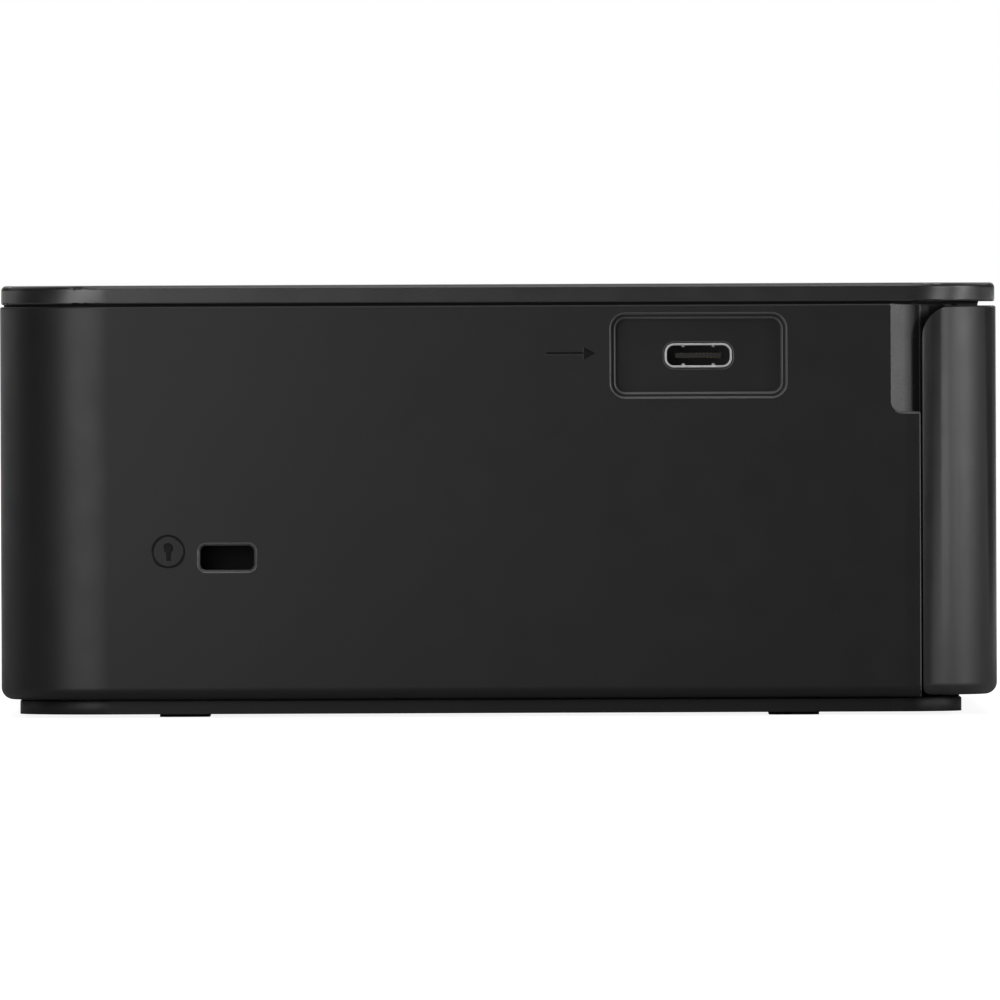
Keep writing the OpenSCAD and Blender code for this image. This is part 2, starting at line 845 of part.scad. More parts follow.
module base_plate() {
    color(soft_black) difference() {
        union() {
            case_prism(base_z0, body_z0 - fit_gap, base_inset, base_front_inset);
            case_prism(base_z0, body_z0, base_inset + base_lip, base_front_inset + 0.3);
            for (x = [power_low.x + 3, power_high.x - 3.4], y = [power_low.y + 5, power_high.y - 3.5])
                translate([x, y, body_z0 - eps]) cylinder(h = post_h, r = post_r);
        }
        foot_spots() foot_plan(0.1, foot_h + foot_sink);
        for (at = BOSSES) translate([at.x, at.y, 0]) {
            cylinder(h = base_z0 + screw_head_t + screw_sink, r = screw_head_r + fit_gap);
            cylinder(h = 2 * body_z0, r = screw_r + fit_gap);
        }
        for (i = [0:base_vent_n - 1]) translate([base_vent_at.x + base_vent_pitch * i, base_vent_at.y, 0])
            linear_extrude(2 * body_z0) round_rect([base_vent_w, base_vent_l], base_vent_w / 2);
    }
}

module foot_spots() {
    for (side = [-1, 1], y = [-half_d + foot_front, half_d - foot_rear])
        translate([side * (half_w - foot_side), y, 0]) children();
}

module foot_plan(grow, h) {
    linear_extrude(h) round_rect([foot_w, foot_l] + 2 * [grow, grow], 1.5 + grow);
}

module feet() {
    color(rubber_black) foot_spots() foot_plan(0, foot_h + foot_sink);
}

module case_screws() {
    color(steel) for (at = BOSSES) translate([at.x, at.y, base_z0 + screw_sink]) {
        difference() {
            cylinder(h = screw_head_t, r = screw_head_r);
            for (turn = [0, 90]) rotate(turn)
                cube([1.1 * screw_head_r, screw_head_r / 4, screw_head_t], center = true);
        }
        translate([0, 0, screw_head_t - eps]) cylinder(h = screw_l, r = screw_r);
    }
}

// ---- front ----

module front_frame() {
    mouth = [[bay_x0 + bay_mouth_in, bay_mouth_z0], [bay_x1 - bay_mouth_in, bay_mouth_z1]];
    card_slot = [card_w - 2 * card_wall + 0.6, card_h - 2 * card_skin + 0.2];
    card_funnel = [card_w + 2, card_h + 2.6];
    cut_y0 = -half_d;
    color(inner_grey) difference() {
        union() {
            difference() {
                case_prism(frame_z0, body_z1, frame_inset);
                case_prism(frame_z0 - 1, body_z1 + 1, frame_inset + frame_t);
                behind(frame_back_y);
                both_sides() pocket_wall(pocket_frame_gap);
            }
            block([-sill_x, sill_y0, body_z0], [sill_x, sill_y0 + sill_t, body_z0 + sill_h + 0.5]);
            both_sides() {
                bar([hinge_y, hinge_z], cheek_r, cheek_x - cheek_w / 2, cheek_x + cheek_w / 2);
                block([cheek_x - cheek_w / 2, hinge_y, hinge_z - cheek_r],
                    [cheek_x + cheek_w / 2, sill_y0 + 1, hinge_z + cheek_r]);
            }
        }
        along_y(cut_y0, 10) soft_rect(mouth[0], mouth[1], [1, 1, 1, 1]);
        along_y(cut_y0, 10) translate([card_x, card_z]) round_rect(card_slot, 0.8);
        along_y(cut_y0, frame_inset + 1) translate([card_x, card_z]) round_rect(card_funnel, 1.4);
        both_sides() bar([hinge_y, hinge_z], hinge_pin_r, pin_x0, pin_x1);
    }
}

module door_outline() {
    along_x(-half_w - 1) linear_extrude(case_w + 2)
        soft_rect([-case_d, door_z0], [wing_y, door_z1], [0, wing_bottom_r, wing_top_r, 0]);
}

module front_door() {
    color(black) difference() {
        union() {
            difference() {
                intersection() {
                    case_slab(door_z0, door_z1, top_edge_r, bottom_edge_r);
                    door_outline();
                }
                case_prism(-1, lid_z1, door_t);
            }
            both_sides() for (x = [pin_x0, relief_x1]) {
                bar([hinge_y, hinge_z], knuckle_r, x, x + knuckle_w);
                block([x, -half_d + door_t - 0.3, hinge_z - knuckle_r],
                    [x + knuckle_w, hinge_y, hinge_z + knuckle_r]);
            }
            for (i = [0:door_rib_n - 1]) translate([door_rib_pitch * (i - (door_rib_n - 1) / 2) - 6, 0, 0])
                block([-rib_t / 2, -half_d + door_t - eps, 12], [rib_t / 2, -half_d + door_t + 1.4, 26]);
        }
        both_sides() {
            bar([hinge_y, hinge_z], hinge_pin_r + run_gap, pin_x0 - 1, pin_x1 + 1);
            bar([hinge_y, hinge_z], relief_r, relief_x0, relief_x1);
            block([relief_x0, hinge_y - relief_r, 0], [relief_x1, hinge_y + relief_r, hinge_z]);
        }
    }
}

module door_pins() {
    color(bright_steel) both_sides() bar([hinge_y, hinge_z], hinge_pin_r, pin_x0 + 0.2, pin_x1 - 0.2);
}

module card_socket() {
    y0 = -half_d + frame_inset + frame_t;
    outer = [card_w / 2, card_h / 2];
    inner = outer - [card_wall, card_skin];
    color(steel) difference() {
        block([card_x - outer.x, y0, card_z - outer.y], [card_x + outer.x, y0 + card_l, card_z + outer.y]);
        block([card_x - inner.x, y0 - 1, card_z - inner.y],
            [card_x + inner.x, y0 + card_l - 1, card_z + inner.y]);
    }
}

// ---- right side ----

// Shallow thumb scoop across the front edge of the cover and the wall beside it
module thumb_scoop() {
    translate([half_w + thumb_r - thumb_depth, ink_y0, ink_z0 + ink_h / 2])
        cylinder(h = ink_h / 2, r = thumb_r, center = true);
}

module ink_cover() {
    color(black) difference() {
        union() {
            difference() {
                intersection() {
                    ink_window(0);
                    block([half_w - ink_t, -case_d, 0], [half_w, case_d, lid_z1]);
                }
                translate([ink_pivot_x, ink_pivot_y, 0]) linear_extrude(lid_z1) difference() {
                    square(2 * ink_pivot_off);
                    circle(ink_pivot_off);
                }
            }
            translate([ink_pivot_x, ink_pivot_y, ink_z0]) cylinder(h = ink_h, r = ink_pivot_off);
            for (i = [0:ink_rib_n - 1]) translate([0, ink_y0 + 14 + ink_rib_pitch * i, 0])
                block([half_w - ink_t - 1, 0, ink_z0 + 2], [half_w - 1, rib_t, ink_z1 - 2]);
        }
        for (z = [ink_z0 - 1, ink_z1 - ink_pin_in])
            translate([ink_pivot_x, ink_pivot_y, z]) cylinder(h = 1 + ink_pin_in, r = ink_pin_r);
        thumb_scoop();
    }
}

module ink_cover_pins() {
    color(bright_steel) for (z = [ink_z0 - ink_pin_in, ink_z1 - ink_pin_in])
        translate([ink_pivot_x, ink_pivot_y, z]) cylinder(h = 2 * ink_pin_in, r = ink_pin_r);
}

// ---- left side ----

module usb_shell() {
    color(bright_steel) difference() {
        along_x(usb_x0) linear_extrude(usb_l) usb_plan(0);
        along_x(usb_x0 - 1) linear_extrude(usb_l) usb_plan(-usb_t);
    }
}

module usb_tongue() {
    color(soft_black) {
        along_x(usb_x0 + tongue_in) linear_extrude(usb_l - tongue_end)
            translate([port_y, port_z]) square([tongue_w, tongue_t], center = true);
        along_x(usb_x0 + usb_l - tongue_end) linear_extrude(tongue_end - 1) usb_plan(-usb_t);
    }
}

module main_board() {
    color(board_green) block([board_x0, board_y0, board_z0], [board_x1, board_y1, board_z1]);
}

// Chips on the main board: distance from its inner edge, place behind the port, width, depth, height
CHIPS = [[15, -7, 12, 12, 1.2], [12, 8, 8, 6, 1], [16, -18, 12, 4, 3]];

module board_parts() {
    color([0.08, 0.08, 0.09]) {
        for (chip = CHIPS) translate([board_x1 - chip[0], port_y + chip[1], board_z1])
            cube([chip[2], chip[3], chip[4]]);
        for (i = [0:2]) translate([board_x0 + 4 + 6 * i, port_y + 13, board_z1]) cylinder(h = 4, r = 2);
    }
}

// Steel plate behind the security slot, with a closed room in which the head of a lock turns
module lock_plate() {
    plate_x = -half_w + wall_t;
    room_x = plate_x + lock_plate_t;
    plate = [lock_l, lock_h] + 2 * [lock_plate_rim, lock_plate_rim];
    room = [lock_room, lock_room];
    color(steel) difference() {
        translate([0, lock_y, lock_z]) {
            along_x(plate_x) linear_extrude(lock_plate_t) round_rect(plate, 1);
            along_x(room_x - eps) linear_extrude(lock_room_depth + lock_skin + eps)
                round_rect(room + 2 * [lock_skin, lock_skin], 1);
        }
        translate([0, lock_y, lock_z]) along_x(room_x)
            linear_extrude(lock_room_depth) round_rect(room, 0.5);
        along_x(plate_x - 1) linear_extrude(1 + lock_plate_t + eps) lock_plan(0);
    }
}

// ---- rear ----

module power_jack() {
    color(soft_black) difference() {
        block([jack_x - jack_w / 2, half_d - wall_t - jack_l, jack_z - jack_low],
            [jack_x + jack_w / 2, half_d - wall_t, jack_z + jack_high]);
        along_y(half_d - wall_t - jack_l + 4, 20) translate([jack_x, jack_z]) difference() {
            circle(jack_r);
            circle(0.9);
        }
    }
}

module power_board() {
    color(board_green) translate([0, 0, power_z0 - eps]) linear_extrude(board_t + eps)
        soft_rect(power_low, power_high, [1, 1, 1, 1]);
}

// ---- chassis ----

module chassis_left() {
    color(steel) {
        // Studs that carry the two free gears
        for (stud = [[step_at, outer_x0 - 0.6], [transfer_at, inner_x0 - 0.6]])
            bar(stud[0], stud_r, stud[1], left_x0 + plate_t / 2);
        along_x(left_x0) linear_extrude(plate_t) difference() {
            soft_rect([plate_y0, body_z0], [plate_y1, beam_z1], [2, 2, 2, 2]);
            soft_rect([board_y0 - 8, board_z0], [board_y1 + 1, 2 * lid_z1], [0, 1, 0, 0]);
            translate([print_y, platen_z]) circle(bush_r);
            translate(grip_at) circle(bush_r);
            translate(pickup_at) circle(bush_r);
            translate([grip_y, pinch_z]) circle(pin_end_r + run_gap);
            translate(takeup_at) circle(spindle_r + run_gap);
            translate([supply_y, supply_z]) circle(spindle_r + run_gap);
            translate(motor_at) circle(2);
        }
    }
}

module chassis_right() {
    color(steel) along_x(right_x0) linear_extrude(plate_t) difference() {
        soft_rect([plate_y0, body_z0], [plate_y1, beam_z1], [2, 2, 2, 2]);
        soft_rect([window_y0, window_z0], [window_y1, window_z1], [1, 1, 1, 1]);
        translate([print_y, platen_z]) circle(bush_r);
        translate(grip_at) circle(bush_r);
        translate(pickup_at) circle(bush_r);
        translate([grip_y, pinch_z]) circle(pin_end_r + run_gap);
        translate([latch_y, latch_z]) circle(latch_pin_r);
        for (y = [plate_y0 + 8, plate_y0 + 20]) translate([y, 38]) circle(3.5);
    }
}

module chassis_beam() {
    color(steel) {
        block([left_x1, print_y - 10, beam_z0], [right_x0, print_y + 10, beam_z1]);
        for (y = [print_y - 10, print_y + 10 - beam_t])
            block([left_x1, y, beam_z0 - 2], [right_x0, y + beam_t, beam_z0 + eps]);
    }
}

module bushes() {
    color(nylon_white) for (at = [[print_y, platen_z], grip_at, pickup_at], x = [left_x0, right_x0])
        difference() {
            union() {
                bar(at, bush_r, x, x + plate_t);
                if (x < 0) bar(at, bush_r + bush_rim, x + plate_t, x + plate_t + 1);
                if (x > 0) bar(at, bush_r + bush_rim, x - 1, x);
            }
            bar(at, shaft_r + run_gap, x - 2, x + plate_t + 2);
        }
}

module head_guides() {
    color(steel) for (x = [sink_x0 - guide_gap - guide_t, sink_x1 + guide_gap])
        along_x(x) linear_extrude(guide_t) difference() {
            translate([print_y - 6, window_z0]) square([12, beam_z0 - window_z0]);
            translate([print_y - tab_w / 2 - 0.1, tab_z0 - 0.2])
                square([tab_w + 0.2, tab_h + head_travel + 0.6]);
        }
}

// ---- paper path ----

module cassette_bay() {
    y0 = sill_y0 + sill_t;
    walls = [bay_x0, bay_x1 - bay_wall_t];
    color(inner_grey) {
        block([bay_x0, y0, bay_z0], [bay_x1, bay_y1, bay_z0 + bay_floor_t]);
        for (x = walls) block([x, y0, bay_z0], [x + bay_wall_t, bay_y1, bay_z0 + bay_wall_h]);
        for (i = [0:bay_rib_n - 1])
            translate([walls[0] + i * (walls[1] - walls[0]) / (bay_rib_n - 1), 0, 0])
                block([0, y0 + 2, body_z0], [bay_wall_t, bay_y1 - 2, bay_z0 + eps]);
    }
}

module entry_ramp() {
    start = [ramp_y, ramp_z];
    top_y = print_y - platen_r - 1.2;
    color(inner_grey) {
        along_x(left_x1) linear_extrude(right_x0 - left_x1) difference() {
            polygon([
                start, [start.x + 6, start.y], [top_y, paper_z - 7], [top_y, paper_z - 1.4],
                [top_y - 3, paper_z - 1.4],
            ]);
            translate([print_y, platen_z]) circle(platen_r + 0.5);
        }
    }
}

module rear_guide() {
    y0 = grip_y + grip_r + 3;
    y1 = half_d - wall_t;
    color(inner_grey) {
        block([left_x1, y0, guide_z1 - 1.2], [right_x0, y1 - 13, guide_z1]);
        block([roller_x0 + 2, y0, guide_z1 - 1.2], [roller_x1 - 2, y1, guide_z1]);
        for (i = [0:guide_rib_n - 1]) translate([guide_rib_pitch * (i - (guide_rib_n - 1) / 2), 0, 0])
            block([-rib_t / 2, y0, guide_z1 - eps], [rib_t / 2, y1, paper_z - 0.5]);
    }
}

module platen_roller() {
    color(rubber_black) difference() {
        bar([print_y, platen_z], platen_r, roller_x0, roller_x1);
        bar([print_y, platen_z], shaft_r + core_t, roller_x0 - 1, roller_x1 + 1);
    }
}

module platen_shaft() {
    color(bright_steel) {
        bar([print_y, platen_z], shaft_r, left_x0 + 0.2, right_x1 - 0.2);
        bar([print_y, platen_z], shaft_r + core_t, roller_x0 - 1.2, roller_x1 + 1.2);
    }
}

module grip_roller() {
    color(bright_steel) {
        bar(grip_at, grip_r, roller_x0, roller_x1);
        bar(grip_at, shaft_r, inner_x0 - 0.4, right_x1 + 0.6);
    }
}

module bored_gear(at, n, turn, x0, bore_r) {
    difference() {
        gear(at, n, turn, x0);
        bar(at, bore_r, x0 - 1, x0 + gear_w + 1);
    }
}

module grip_gear() {
    color(nylon_white) difference() {
        bored_gear(grip_at, grip_n, 0, inner_x0, shaft_r);
        for (i = [0:4]) along_x(inner_x0 - 1) translate(grip_at) rotate(72 * i)
            translate([6.2, 0]) cylinder(h = gear_w + 2, r = 1.6);
    }
}

module pinch_roller() {
    color(rubber_black) {
        bar([grip_y, pinch_z], pinch_r, roller_x0, roller_x1);
        bar([grip_y, pinch_z], pin_end_r, left_x0, right_x1);
    }
}

module pickup_tyre() {
    color(rubber_black) for (x = [bay_mid - tyre_gap / 2 - tyre_w, bay_mid + tyre_gap / 2]) difference() {
        bar(pickup_at, pickup_r, x, x + tyre_w);
        bar(pickup_at, shaft_r, x - 1, x + tyre_w + 1);
    }
}

module pickup_shaft() {
    color(steel) bar(pickup_at, shaft_r, inner_x0 - 0.4, right_x1 + 0.6);
    color(nylon_white) bored_gear(pickup_at, pickup_n, pickup_turn, inner_x0, shaft_r - 0.3);
}

module transfer_gear() {
    color(nylon_white) difference() {
        bored_gear(transfer_at, transfer_n, transfer_turn, inner_x0, stud_r + run_gap);
        for (i = [0:5]) along_x(inner_x0 - 1) translate(transfer_at) rotate(60 * i)
            translate([8, 0]) cylinder(h = gear_w + 2, r = 2.4);
    }
}

module reduction_gear() {
    color(nylon_white) difference() {
        union() {
            gear(step_at, wheel_n, step_turn, outer_x0);
            gear(step_at, step_n, step_turn, inner_x0);
            bar(step_at, pitch(step_n) - 1, outer_x0, inner_x1);
        }
        bar(step_at, stud_r + run_gap, outer_x0 - 1, inner_x1 + 1);
        for (i = [0:5]) along_x(outer_x0 - 1) translate(step_at) rotate(60 * i)
            translate([8, 0]) cylinder(h = gear_w + 1.2, r = 2);
    }
}

module feed_motor() {
    color(steel) {
        bar(motor_at, motor_r, left_x1, left_x1 + motor_l);
        bar(motor_at, 3, left_x1 + motor_l - eps, left_x1 + motor_l + 2);
    }
}

module motor_pinion() {
    color([0.75, 0.62, 0.3]) {
        gear(motor_at, motor_n, motor_turn, outer_x0);
        bar(motor_at, 1, outer_x0 - 0.5, left_x1 - 0.05);
    }
}

// Spindle that turns a spool of the ink cassette: a shaft with a ribbed nose
module spindle_nose(at) {
    nose_x = left_x1 + 0.4;
    bar(at, 3.7, nose_x, nose_x + 1.4);
    bar(at, 2.6, nose_x, nose_x + 11);
    for (i = [0:5]) along_x(nose_x) translate(at) rotate(60 * i)
        translate([0, -0.5, 0]) cube([3.5, 1, 9]);
}

module takeup_spindle() {
    color(nylon_white) {
        spindle_nose(takeup_at);
        bar(takeup_at, spindle_r, inner_x0, left_x1 + 1);
        gear(takeup_at, takeup_n, takeup_turn, inner_x0);
    }
}

module supply_spindle() {
    color(nylon_white) {
        spindle_nose([supply_y, supply_z]);
        bar([supply_y, supply_z], spindle_r, left_x0 - 0.6, left_x1 + 1);
        bar([supply_y, supply_z], spindle_r + 0.8, left_x0 - 1.2, left_x0 - 0.3);
    }
}

// ---- thermal head ----

module heat_sink() {
    fin_z0 = sink_z0 + sink_base_t;
    color(alloy) {
        block([sink_x0, print_y - sink_w / 2, sink_z0], [sink_x1, print_y + sink_w / 2, fin_z0]);
        for (i = [0:fin_n - 1]) translate([0, print_y - sink_w / 2 + i * (sink_w - fin_t) / (fin_n - 1), 0])
            block([sink_x0, 0, fin_z0 - eps], [sink_x1, fin_t, sink_z1]);
        for (x = [sink_x0 - guide_gap - guide_t, sink_x1 - 2])
            block([x, print_y - tab_w / 2, tab_z0],
                [x + guide_gap + guide_t + 2, print_y + tab_w / 2, tab_z0 + tab_h]);
    }
}

module head_strip() {
    color([0.55, 0.5, 0.42]) along_x(sink_x0) linear_extrude(sink_x1 - sink_x0) difference() {
        translate([print_y - 5, sink_z0 - 1.8]) square([10, 1.8]);
        for (side = [-1, 1]) translate([print_y + side * 5, sink_z0 - 1.8]) circle(1.2);
    }
}

module ink_latch() {
    half_arm = latch_arm_h / 2;
    color(soft_black) along_x(right_x1 + 0.2) linear_extrude(latch_t) difference() {
        union() {
            translate([latch_y, latch_z]) circle(latch_eye_r);
            soft_rect([window_y1 - 2, latch_z - half_arm], [latch_y, latch_z + half_arm], [1, 0, 0, 1]);
            soft_rect([latch_y - half_arm, latch_z], [latch_y + half_arm, latch_z + latch_thumb_h],
                [0, 0, 1.5, 1.5]);
        }
        translate([latch_y, latch_z]) circle(latch_pin_r + run_gap);
    }
}

module latch_pin() {
    color(bright_steel) {
        bar([latch_y, latch_z], latch_pin_r, right_x0, right_x1 + latch_t + 0.6);
        bar([latch_y, latch_z], latch_pin_r + 0.8, right_x1 + latch_t + 0.4, right_x1 + latch_t + 1);
    }
}

top_cover();
screen_glass();
display_panel();
button_board();
power_button();
menu_button();
edit_button();
back_button();
print_button();
confirm_button();
up_button();
down_button();
left_button();
right_button();
body_shell();
base_plate();
feet();
case_screws();
front_frame();
front_door();
door_pins();
ink_cover();
ink_cover_pins();
usb_shell();
usb_tongue();
main_board();
board_parts();
lock_plate();
power_jack();
power_board();
card_socket();
chassis_left();
chassis_right();
chassis_beam();
head_guides();
bushes();
cassette_bay();
entry_ramp();
rear_guide();
platen_roller();
platen_shaft();
grip_roller();
grip_gear();
pinch_roller();
pickup_tyre();
pickup_shaft();
transfer_gear();
reduction_gear();
feed_motor();
motor_pinion();
takeup_spindle();
supply_spindle();
heat_sink();
head_strip();
ink_latch();
latch_pin();
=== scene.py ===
"""Looks of a compact photo printer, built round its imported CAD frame.

Metres, +Z up, -Y the front, -X the left side with the ports. The camera looks at the left side.
"""
import json
import math

import bmesh
import bpy
from mathutils import Matrix, Vector


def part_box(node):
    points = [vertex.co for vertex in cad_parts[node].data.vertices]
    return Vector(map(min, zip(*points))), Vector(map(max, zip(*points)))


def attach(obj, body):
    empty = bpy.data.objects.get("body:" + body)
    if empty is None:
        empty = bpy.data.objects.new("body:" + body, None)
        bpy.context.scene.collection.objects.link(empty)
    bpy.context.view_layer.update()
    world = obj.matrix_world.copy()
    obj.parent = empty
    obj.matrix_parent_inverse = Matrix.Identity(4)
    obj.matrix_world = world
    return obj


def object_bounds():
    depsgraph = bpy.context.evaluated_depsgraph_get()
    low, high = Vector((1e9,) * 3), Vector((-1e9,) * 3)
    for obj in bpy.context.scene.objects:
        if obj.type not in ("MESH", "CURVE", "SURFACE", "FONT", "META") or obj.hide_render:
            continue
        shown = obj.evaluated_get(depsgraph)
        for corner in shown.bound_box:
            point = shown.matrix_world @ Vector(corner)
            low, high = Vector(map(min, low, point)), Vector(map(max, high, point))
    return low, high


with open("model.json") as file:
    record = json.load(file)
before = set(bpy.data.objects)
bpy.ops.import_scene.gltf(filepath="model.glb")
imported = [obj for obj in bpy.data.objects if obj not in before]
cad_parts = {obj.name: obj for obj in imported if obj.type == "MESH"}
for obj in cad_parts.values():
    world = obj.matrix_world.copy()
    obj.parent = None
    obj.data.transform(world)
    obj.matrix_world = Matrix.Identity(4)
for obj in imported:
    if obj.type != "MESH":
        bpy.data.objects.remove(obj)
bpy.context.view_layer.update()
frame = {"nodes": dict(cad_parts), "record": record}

MM = 0.001
NODES = frame["nodes"]
LOW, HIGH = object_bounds()
SIDE_X = LOW.x


# ---- node trees ----

NOISE_MIDDLE = (0.3, 0.7)    # most of a noise lies between these values


class Tree:
    """A node tree, with short calls for the nodes that the materials, the world and the floor share."""

    def __init__(self, tree):
        self.tree = tree

    def add(self, kind, **values):
        node = self.tree.nodes.new(kind)
        for key, value in values.items():
            setattr(node, key, value)
        return node

    def link(self, source, target):
        self.tree.links.new(source, target)

    def math(self, operation, *values, clamp=False):
        """One Math node. A value is a number or the output of another node."""
        node = self.add("ShaderNodeMath", operation=operation, use_clamp=clamp)
        for slot, value in zip(node.inputs, values):
            if isinstance(value, (int, float)):
                slot.default_value = value
            else:
                self.link(value, slot)
        return node.outputs[0]

    def ramp(self, source, start, end, low=0.0, high=1.0):
        """Straight line from low at start to high at end, level outside."""
        node = self.add("ShaderNodeMapRange")
        for key, value in (("From Min", start), ("From Max", end), ("To Min", low), ("To Max", high)):
            node.inputs[key].default_value = value
        self.link(source, node.inputs["Value"])
        return node.outputs["Result"]

    def split(self, vector):
        """The X, Y and Z of a vector."""
        node = self.add("ShaderNodeSeparateXYZ")
        self.link(vector, node.inputs[0])
        return node.outputs


class Surface(Tree):
    """The node tree of a material, in the object's own coordinates."""

    def __init__(self, name):
        self.material = bpy.data.materials.new(name)
        self.material.use_nodes = True
        super().__init__(self.material.node_tree)
        self.shader = self.tree.nodes["Principled BSDF"]
        self.place = self.add("ShaderNodeTexCoord").outputs["Object"]

    def set(self, **values):
        for key, value in values.items():
            self.shader.inputs[key.replace("_", " ")].default_value = value

    def feed(self, name, source):
        """Lets a node's output drive an input of the shader."""
        self.link(source, self.shader.inputs[name])

    def stretched(self, scale):
        """Object coordinates with one scale for each direction."""
        node = self.add("ShaderNodeMapping")
        node.inputs["Scale"].default_value = scale
        self.link(self.place, node.inputs["Vector"])
        return node.outputs["Vector"]

    def noise(self, scale, detail=2.0, where=None):
        """Noise with a scale per metre."""
        node = self.add("ShaderNodeTexNoise")
        node.inputs["Scale"].default_value = scale
        node.inputs["Detail"].default_value = detail
        self.link(where or self.place, node.inputs["Vector"])
        return node.outputs["Fac"]

    def tint(self, source, dark, light):
        """Colour that runs from dark to light with a noise."""
        ramp = self.add("ShaderNodeValToRGB")
        for element, position, colour in zip(ramp.color_ramp.elements, NOISE_MIDDLE, (dark, light)):
            element.position = position
            element.color = (*colour, 1)
        self.link(source, ramp.inputs["Fac"])
        self.feed("Base Color", ramp.outputs["Color"])

    def roughness(self, source, low, high):
        """Roughness that runs from low to high with a noise."""
        self.feed("Roughness", self.ramp(source, *NOISE_MIDDLE, low, high))

    def bump(self, source, depth, under=None):
        """Relief of a real depth in metres. Returns the normal, for a second relief over it."""
        node = self.add("ShaderNodeBump")
        node.inputs["Strength"].default_value = 1.0
        node.inputs["Distance"].default_value = depth
        self.link(source, node.inputs["Height"])
        if under is not None:
            self.link(under, node.inputs["Normal"])
        self.feed("Normal", node.outputs["Normal"])
        return node.outputs["Normal"]

    def off(self, value, middle):
        """How far a coordinate is from a middle."""
        return self.math("ABSOLUTE", self.math("SUBTRACT", value, middle))

    def bar(self, y, z, half_y, half_z, at_y, at_z):
        """Distance outside a bar on the left side, in metres."""
        off_y = self.math("SUBTRACT", self.off(y, at_y), half_y)
        off_z = self.math("SUBTRACT", self.off(z, at_z), half_z)
        return self.math("MAXIMUM", off_y, off_z)

    def disc(self, y, z, radius, at_y, at_z):
        """Distance outside a disc on the left side, in metres."""
        off_y = self.math("POWER", self.off(y, at_y), 2.0)
        off_z = self.math("POWER", self.off(z, at_z), 2.0)
        return self.math("SUBTRACT", self.math("SQRT", self.math("ADD", off_y, off_z)), radius)


# ---- materials ----

def grey(value):
    return (value, value, value)


MOTTLE = 35                  # noises of moulded plastic, per metre
GLOSS_CHANGE = 220
GLOSS_SPREAD = 0.03
MARK_EDGE = 0.07 * MM        # half the width of the slope at the edge of a mark
MARK_DEPTH = 0.12 * MM
MARK_GLOSS = 0.3             # share of the gloss that is left in a mark


def moulded(name, shade, rough, grain=0.35 * MM, depth=2.5e-6, spread=0.12, gloss=0.5,
            marks=None, painted_shade=None):
    """Moulded plastic: a fine even grain, slow changes of gloss and a little mottling."""
    n = Surface(name)
    n.tint(n.noise(MOTTLE, detail=3), grey(shade * (1 - spread)), grey(shade * (1 + spread)))
    n.roughness(n.noise(GLOSS_CHANGE, detail=4), rough - GLOSS_SPREAD, rough + GLOSS_SPREAD)
    relief = n.bump(n.noise(1 / grain, detail=2), depth)
    n.set(IOR=1.46, Specular_IOR_Level=gloss)
    if marks is not None:
        height = n.ramp(marks(n), -MARK_EDGE, MARK_EDGE)
        n.bump(height, MARK_DEPTH, under=relief)
        n.feed("Specular IOR Level", n.ramp(height, 0.0, 1.0, MARK_GLOSS * gloss, gloss))
    # A painted shadow, when given: gloss taken away along a ramp
    if painted_shade is not None:
        n.feed("Specular IOR Level", painted_shade(n, gloss))
    return n.material


# Y span over which the painted shadow on a finger pocket's ramp comes in
POCKET_SHADOW_SPAN = (-55.7 * MM, -54.0 * MM)
POCKET_SHADOW_GLOSS = 0.06          # share of the gloss that the painted shadow leaves at the gap


def pocket_painted_shadow(n, gloss):
    """Painted shadow: the ramp of a finger pocket loses its gloss toward the gap behind the door, where
    shade falls.
    """
    return n.ramp(n.split(n.place)["Y"], *POCKET_SHADOW_SPAN, POCKET_SHADOW_GLOSS * gloss, gloss)


MARK_LINE = 0.13 * MM        # half the width of the drawn lines
ARROW_AT = (-8.9 * MM, 48.3 * MM)
ARROW_HALF = 2.5 * MM
ARROW_HEAD = 1.5 * MM
ARROW_SLOPE = 0.55
KEYHOLE_AT = (44.0 * MM, 22.1 * MM)
ESCUTCHEON_R = 2.1 * MM
HOLE_R = 0.62 * MM
HOLE_UP = 0.5 * MM
STEM_HALF = (0.3 * MM, 0.85 * MM)
STEM_DOWN = 0.4 * MM
MARKED_TO = (0.1 * MM, 0.2 * MM)  # the marks end between these depths from the side face


def side_marks(n):
    """Distance outside the sunk marks on the left side: an arrow to the port, a keyhole by the slot."""
    x, y, z = n.split(n.place)
    shaft = n.bar(y, z, ARROW_HALF, MARK_LINE, *ARROW_AT)
    along = n.math("SUBTRACT", ARROW_AT[0] - ARROW_HALF, y)
    sloped = n.math("ADD", n.math("MULTIPLY", along, ARROW_SLOPE), n.off(z, ARROW_AT[1]))
    sides = n.math("SUBTRACT", sloped, ARROW_HEAD * ARROW_SLOPE)
    head = n.math("MAXIMUM", sides, n.math("MULTIPLY", along, -1.0))
    ring = n.math("ABSOLUTE", n.disc(y, z, ESCUTCHEON_R, *KEYHOLE_AT))
    ring = n.math("SUBTRACT", ring, MARK_LINE)
    hole = n.disc(y, z, HOLE_R, KEYHOLE_AT[0], KEYHOLE_AT[1] + HOLE_UP)
    stem = n.bar(y, z, *STEM_HALF, KEYHOLE_AT[0], KEYHOLE_AT[1] - STEM_DOWN)
    nearest = shaft
    for distance in (head, ring, hole, stem):
        nearest = n.math("MINIMUM", nearest, distance)
    elsewhere = n.ramp(x, SIDE_X + MARKED_TO[0], SIDE_X + MARKED_TO[1])
    return n.math("ADD", nearest, elsewhere)


RUBBER_BLOOM = 400           # noises of rubber, per metre
RUBBER_GLOSS = 900
RUBBER_SKIN = 5000
RUBBER_SHADES = (0.7, 1.5)
RUBBER_SPREAD = 0.08


